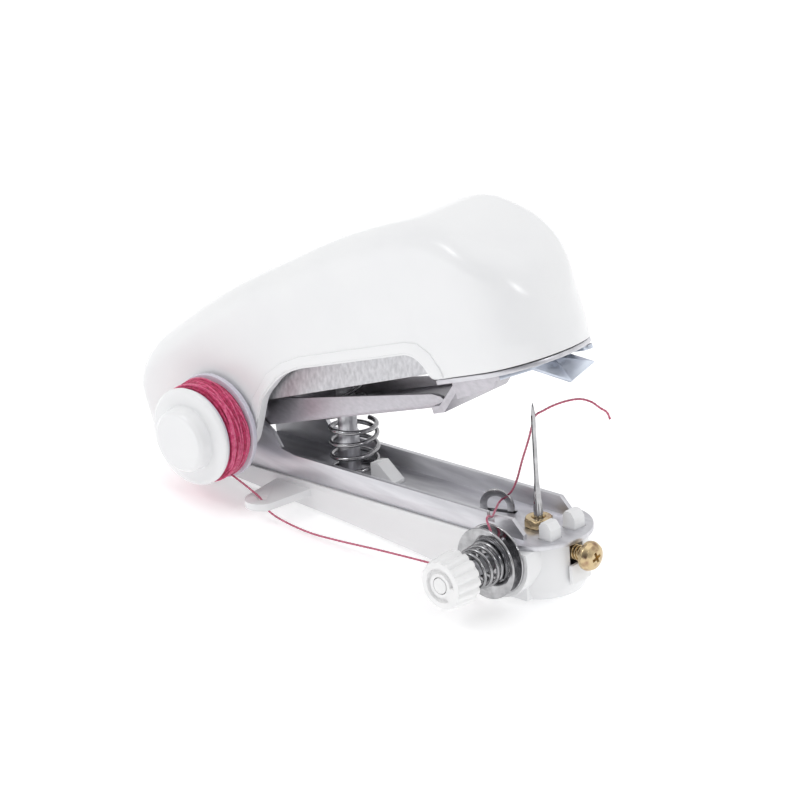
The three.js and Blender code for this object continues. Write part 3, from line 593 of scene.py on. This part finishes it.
ring = lathe("ring_fine", fillet([(2.1, -0.3), (3.4, -0.3), (3.4, 0.3), (2.1, 0.3)], 0.15), 72)
add_piece(ring, ARM @ Matrix.Translation((56.9, 0.9, -8)) @ Matrix.Rotation(math.radians(19), 4, "Z")
          @ Matrix.Rotation(math.pi / 2, 4, "X"), BRIGHT, "arm", ["ring_guide"], 50)


def post_wave(r, h, angle):
    """Sixteen faint flutes down the post."""
    return (r - 0.02 * (1 + math.cos(16 * angle)) if r > 1 else r, h)


post = lathe("post_fine", fillet([
    (0, -9.7), (1.5, -9.7), (1.5, -8.7), (2.1, -8.7), (2.1, -1.0), (1.85, -0.7), (1.85, 7.3), (1.5, 8.0),
    (0, 8.0),
], 0.15, 3, False), 64, post_wave)
add_piece(post, ARM @ along_z(POST_X, 0), SHEET, "arm", ["guide_post"], 50)

main_spring = tube("main_coil", helix(4.35, 4.35, -8.25, 0.65, 4.25, 0), 0.45, 12)
add_piece(main_spring, ARM @ along_z(MAIN_SPRING_X, 0), WIRE, "arm", ["main_spring"], 180)
upper_spring = tube("upper_coil", helix(3.5, 3.5, -1.7, 8.0, 3.5, 0), 0.35, 12)
add_piece(upper_spring, BODY @ along_z(UPPER_SPRING_X, 0), WIRE, "upper_body", ["upper_spring"], 180)

# ---- thread tension -------------------------------------------------------------------------
AT_TENSION = ARM @ along_y(*TENSION)
DISC_THICKNESS = 0.45
RIBS = 16
GROOVE_GAP_AT = 0.5


def disc_profile(centre, rim):
    """A pressed disc: flat centre, slanted web and a rolled rim."""
    bend = [(1.7, centre), (3.2, centre), (4.0, centre + 0.12 * (rim - centre)),
            (5.6, rim - 0.08 * (rim - centre)), (6.3, rim), (6.85, rim)]
    return fillet(bend + [(r, h + DISC_THICKNESS) for r, h in reversed(bend)], 0.2, 3)


rear_disc = lathe("disc_rear", disc_profile(-11.65, -11.15), 128)
add_piece(rear_disc, AT_TENSION, BRIGHT, "arm", ["tension_disc_rear"], 50)
front_disc = lathe("disc_front", disc_profile(-12.9, -13.6), 128)
add_piece(front_disc, AT_TENSION, BRIGHT, "arm", ["tension_disc_front"], 50)
stud = lathe("stud_fine", [
    (0, -25.2), (1.2, -25.2), (1.5, -24.8), (1.5, -6.1), (2, -6.1), (2, -5.2), (0, -5.2),
], 48)
add_piece(stud, AT_TENSION, SHEET, "arm", ["tension_stud"], 40)
cone_spring = tube("tension_coil", helix(3.3, 3.9, -19.9, -13.4, 5, 0.6), 0.38, 10)
add_piece(cone_spring, AT_TENSION, WIRE, "arm", ["tension_spring"], 180)


def knob_wave(r, h, angle):
    """Sixteen round ribs on the skirt and a C-shaped groove in the face."""
    if r > 4.3 and h > -25.75:
        r -= 0.5 * (0.5 - 0.5 * math.cos(RIBS * angle)) ** 2
    from_gap = angle - GROOVE_GAP_AT
    in_groove = abs(math.atan2(math.sin(from_gap), math.cos(from_gap))) > 0.5
    if 2.35 < r < 3.25 and h < -25.5 and in_groove:
        h += 0.7
    return r, h


knob_face = [(r / 20, -25.9) for r in range(86, 36, -2)]
knob = lathe("knob_fine", [
    (BORE_R, -20.3), (4.9, -20.3), (5.15, -20.55), (5.2, -21), (4.98, -23), (4.75, -25.3), (4.65, -25.7),
    (4.45, -25.83), *knob_face, (BORE_R, -25.9),
], 256, knob_wave)
add_piece(knob, AT_TENSION, KNOB_WHITE, "knob", ["tension_knob"], 50)
stud_outline = fillet([(0, -26.0), (1.5, -26.0), (1.5, -25.3), (0, -25.3)], 0.1, 3, False)
stud_end = lathe("knob_centre", stud_outline, 48)
add_piece(stud_end, AT_TENSION, KNOB_WHITE, "knob", [], 40)

# ---- hinge pin and spool ----------------------------------------------------------------------
AT_HINGE = ARM @ along_y(0, 0)
pin = lathe("hinge_pin_fine", fillet([
    (0, -22.6), (PIN_R, -22.6), (PIN_R, 12.7), (3.2, 12.7), (2.75, 13.7), (1.3, 14.15), (0, 14.2),
], 0.25, 4, False), 72)
add_piece(pin, AT_HINGE, SHEET, "arm", ["hinge_pin"], 50)
washer_outline = fillet([(BORE_R, -13.05), (4.2, -13.05), (4.2, -12.6), (BORE_R, -12.6)], 0.08)
washer = lathe("washer_fine", washer_outline, 64)
add_piece(washer, AT_HINGE, WIRE, "arm", ["spool_washer"], 50)
bobbin = lathe("bobbin_fine", fillet([
    (BORE_R, -20.1), (9.1, -20.1), (9.1, -19.5), (3.6, -19.5), (3.6, -14.2), (FLANGE_R, -14.2),
    (FLANGE_R, -13.2), (BORE_R, -13.2),
], 0.22, 4), 128)
holes = [prism("hole", arc(7.4 * math.cos(a), 7.4 * math.sin(a), 0.55, 0, 340, 17), -14.6, -13.0, "Z")
         for a in (0.4, 2.5, 4.6)]
bobbin = combine(bobbin, holes, "DIFFERENCE")
add_piece(bobbin, AT_HINGE, CLEAR, "spool", ["bobbin"], 40)
cap = lathe("cap_fine", fillet([
    (0, -24.2), (5.4, -24.2), (6.1, -23.5), (6.25, -21.3), (8.9, -21.15), (9.5, -20.8), (9.5, -20.2),
    (BORE_R, -20.2), (BORE_R, -22.8), (0, -22.8),
], 0.3, 5, False), 128)
add_piece(cap, AT_HINGE, WHITE, "spool", ["spool_cap"], 50)

core = lathe("thread_core", fillet([
    (3.7, -19.4), (8.6, -19.4), (8.9, -18.7), (9.0, -15.2), (9.2, -14.3), (3.7, -14.3),
], 0.15, 3), 96)
add_piece(core, AT_HINGE, THREAD, "spool", ["wound_thread"], 60)


KNOTS = 3
STEPS_PER_TURN = 40
SPOOL_MIDDLE = -16.85


def winding(seed, turns, radius, spread):
    """One messy layer of thread laid round the spool, swinging from side to side KNOTS times a turn."""
    rng = random.Random(seed)
    sway = [rng.uniform(-1, 1) for _ in range(turns * KNOTS + 4)]
    out = []
    for i in range(turns * STEPS_PER_TURN + 1):
        t = i / STEPS_PER_TURN
        k = int(t * KNOTS)
        mix = t * KNOTS - k
        mix = mix * mix * (3 - 2 * mix)
        across = sway[k] * (1 - mix) + sway[k + 1] * mix
        swell = radius + 0.14 * math.sin(2.3 * t + seed) + 0.1 * math.sin(7.1 * t) + 0.12 * across
        angle = 2 * math.pi * t
        out.append((swell * math.cos(angle), swell * math.sin(angle), SPOOL_MIDDLE + spread * across))
    return out


# turns, radius, swing to each side and look of each layer; the pink layers are a painted highlight on the
# crimson thread
LAYERS = [
    (26, 9.0, 2.3, THREAD), (24, 9.15, 2.25, THREAD), (14, 9.25, 2.2, THREAD_PAINTED_HIGHLIGHT), (16, 9.35, 2.1, THREAD),
    (8, 9.45, 2.0, THREAD_PAINTED_HIGHLIGHT),
]
for seed, (turns, radius, spread, look) in enumerate(LAYERS):
    strand = tube(f"winding_{seed + 1}", winding(seed + 3, turns, radius, spread), 0.18, 6, 6.0, 0.12)
    add_piece(strand, AT_HINGE, look, "spool", [], 180)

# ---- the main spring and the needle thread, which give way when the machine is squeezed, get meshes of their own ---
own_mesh(main_spring)
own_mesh(tail)

# ---- floor and light -----------------------------------------------------------------------------
FLOOR_HALF = 6
FLOOR_Z = -0.0002
bm = bmesh.new()
for x, y in ((-1, -1), (1, -1), (1, 1), (-1, 1)):
    bm.verts.new((x * FLOOR_HALF, y * FLOOR_HALF, FLOOR_Z))
bm.faces.new(bm.verts)
floor = to_object("floor", bm)
floor.data.materials.append(shader("floor_white", (0.93, 0.93, 0.93), (0.96, 0.96, 0.96), (0.8, 0.9),
                                   scale=3, bump=0, Emission_Color=(1, 1, 1, 1), Emission_Strength=0.32))


def softbox(name, position, size, power):
    """A soft light aimed at the machine."""
    data = bpy.data.lights.new(name, "AREA")
    data.shape = "RECTANGLE"
    data.size, data.size_y = size
    data.energy = power
    light = bpy.data.objects.new(name, data)
    light.location = position
    light.rotation_euler = (Vector((0, 0, 0.03)) - Vector(position)).to_track_quat("-Z", "Y").to_euler()
    bpy.context.scene.collection.objects.link(light)


softbox("key", (-0.45, -0.8, 0.9), (0.35, 0.25), 2.0)
softbox("overhead", (0.1, 0.2, 1.2), (1.1, 1.1), 2.0)
softbox("front", (1.0, -0.3, 0.75), (0.18, 0.2), 1.5)

# a pale room with one grey side, so that polished metal has something dark to show
DARK_SIDE = (0.62, -0.72, 0.12)
world = bpy.data.worlds.new("studio")
bpy.context.scene.world = world
world.use_nodes = True
nodes, links = world.node_tree.nodes, world.node_tree.links
place = nodes.new("ShaderNodeTexCoord")
facing = nodes.new("ShaderNodeVectorMath")
facing.operation = "DOT_PRODUCT"
facing.inputs[1].default_value = DARK_SIDE
links.new(place.outputs["Generated"], facing.inputs[0])
sky = nodes.new("ShaderNodeValToRGB")
pale, grey = sky.color_ramp.elements
pale.position = 0.45
pale.color = (1.0, 1.0, 1.0, 1)
grey.position = 0.8
grey.color = (0.3, 0.3, 0.32, 1)
links.new(facing.outputs["Value"], sky.inputs["Fac"])
links.new(sky.outputs["Color"], nodes["Background"].inputs["Color"])
nodes["Background"].inputs["Strength"].default_value = 0.86

bpy.context.scene.view_settings.view_transform = "Standard"
